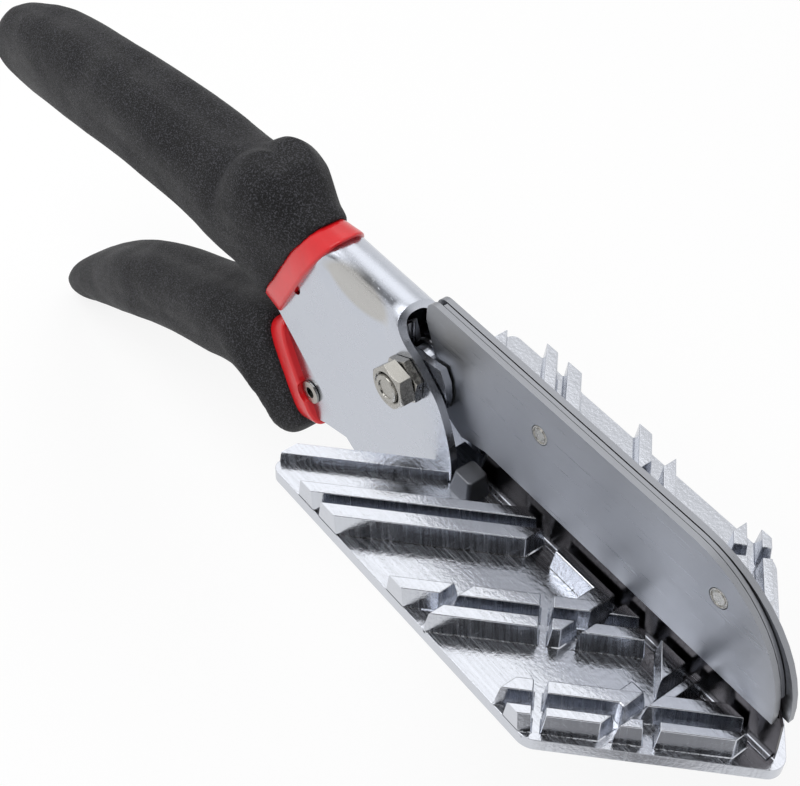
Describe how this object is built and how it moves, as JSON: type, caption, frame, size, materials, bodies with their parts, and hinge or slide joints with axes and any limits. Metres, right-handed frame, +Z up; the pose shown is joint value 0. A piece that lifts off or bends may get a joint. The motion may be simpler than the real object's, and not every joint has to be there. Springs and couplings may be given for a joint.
{
  "type": "mitre shears",
  "caption": "Hand shears with a straight blade that closes on a chevron base of angle fences, and two dipped grips.",
  "frame": {"origin": "middle of the base plate's underside, in the plane of the blade", "axes": "+X towards the nose of the base, +Z up from the base plate, +Y to the far side of the blade"},
  "size_m": [0.2718, 0.062, 0.1171],
  "materials": {
    "chrome_plated_zinc": "bright plated casting",
    "zinc_plated_steel": "satin zinc plate",
    "brushed_steel": "brushed",
    "blade_steel": "polished",
    "dark_nickel": "satin nickel",
    "spring_steel": "drawn wire",
    "black_soft_vinyl": "fine grained, matt",
    "red_vinyl": "smooth, glossy"
  },
  "bodies": {
    "upper_body": {"base_casting": "chrome_plated_zinc", "anvil_strip": "zinc_plated_steel", "base_rivet_1": "dark_nickel", "base_rivet_2": "dark_nickel", "upper_handle_channel": "zinc_plated_steel", "upper_grip": "black_soft_vinyl", "upper_collar": "red_vinyl", "pivot_bolt": "dark_nickel", "pivot_nut": "dark_nickel", "jam_nut": "dark_nickel", "pivot_bush": "zinc_plated_steel", "torsion_spring": "spring_steel", "catch_pin": "dark_nickel"},
    "blade_arm": {"lower_handle_channel": "zinc_plated_steel", "lower_grip": "black_soft_vinyl", "lower_collar": "red_vinyl", "holder_plate_near": "brushed_steel", "holder_plate_far": "brushed_steel", "holder_spacer": "brushed_steel", "cutting_blade": "blade_steel", "holder_rivet_rear": "dark_nickel", "holder_rivet_front": "dark_nickel", "tang_rivet_1": "dark_nickel", "tang_rivet_2": "dark_nickel", "hollow_rivet": "dark_nickel", "catch_washer_near": "zinc_plated_steel", "catch_washer_far": "zinc_plated_steel"},
    "catch": {"lock_catch": "zinc_plated_steel"}
  },
  "joints": [
    {"name": "handle_hinge", "type": "hinge", "parent": "upper_body", "child": "blade_arm", "pos_m": [-0.0425, 0, 0.0206], "axis": [0, -1, 0], "range_deg": [0, 24]},
    {"name": "catch_hinge", "type": "hinge", "parent": "blade_arm", "child": "catch", "pos_m": [-0.07684, 0, -0.01422], "axis": [0, 1, 0], "range_deg": [-24, 0]}
  ]
}
